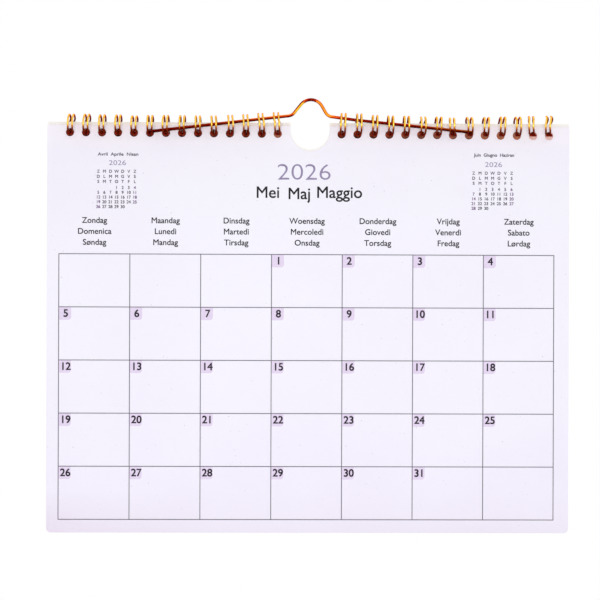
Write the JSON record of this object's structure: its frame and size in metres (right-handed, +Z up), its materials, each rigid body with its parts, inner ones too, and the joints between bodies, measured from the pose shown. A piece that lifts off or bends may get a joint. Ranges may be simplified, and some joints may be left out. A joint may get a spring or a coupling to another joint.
{
  "type": "wall calendar",
  "caption": "Landscape wire-bound wall calendar with a hanger wire, thumb notch and a printed month grid on its front leaf.",
  "frame": {"origin": "where the nail touches the underside of the hanger's crown", "axes": "+Z up, -Y towards the reader, +Y towards the wall, +X to the reader's right along the binding"},
  "size_m": [0.277, 0.0115, 0.2305],
  "materials": {
    "binding_wire": "glossy copper-gold coated steel wire",
    "hanger_wire": "glossy copper-gold coated steel wire",
    "leaf_paper": "smooth uncoated paper",
    "cover_card": "smooth card",
    "grid_ink": "matt ink",
    "tint_ink": "matt ink"
  },
  "bodies": {
    "hanger": {"hanger_wire": "hanger_wire"},
    "binding": {"binding_wire_left": "binding_wire", "binding_wire_right": "binding_wire"},
    "leaves": {"page_block": "leaf_paper", "printed_grid": "grid_ink", "date_tints": "tint_ink"},
    "cover": {"back_cover": "cover_card"}
  },
  "joints": [
    {"name": "rings_swing", "type": "hinge", "parent": "hanger", "child": "binding", "pos_m": [0, 0, -0.01265], "axis": [-1, 0, 0], "range_deg": [-45, 10]},
    {"name": "leaves_turn", "type": "hinge", "parent": "binding", "child": "leaves", "pos_m": [0, 0, -0.01265], "axis": [-1, 0, 0], "range_deg": [0, 30]},
    {"name": "cover_turn", "type": "hinge", "parent": "binding", "child": "cover", "pos_m": [0, 0, -0.01265], "axis": [1, 0, 0], "range_deg": [0, 15]}
  ]
}
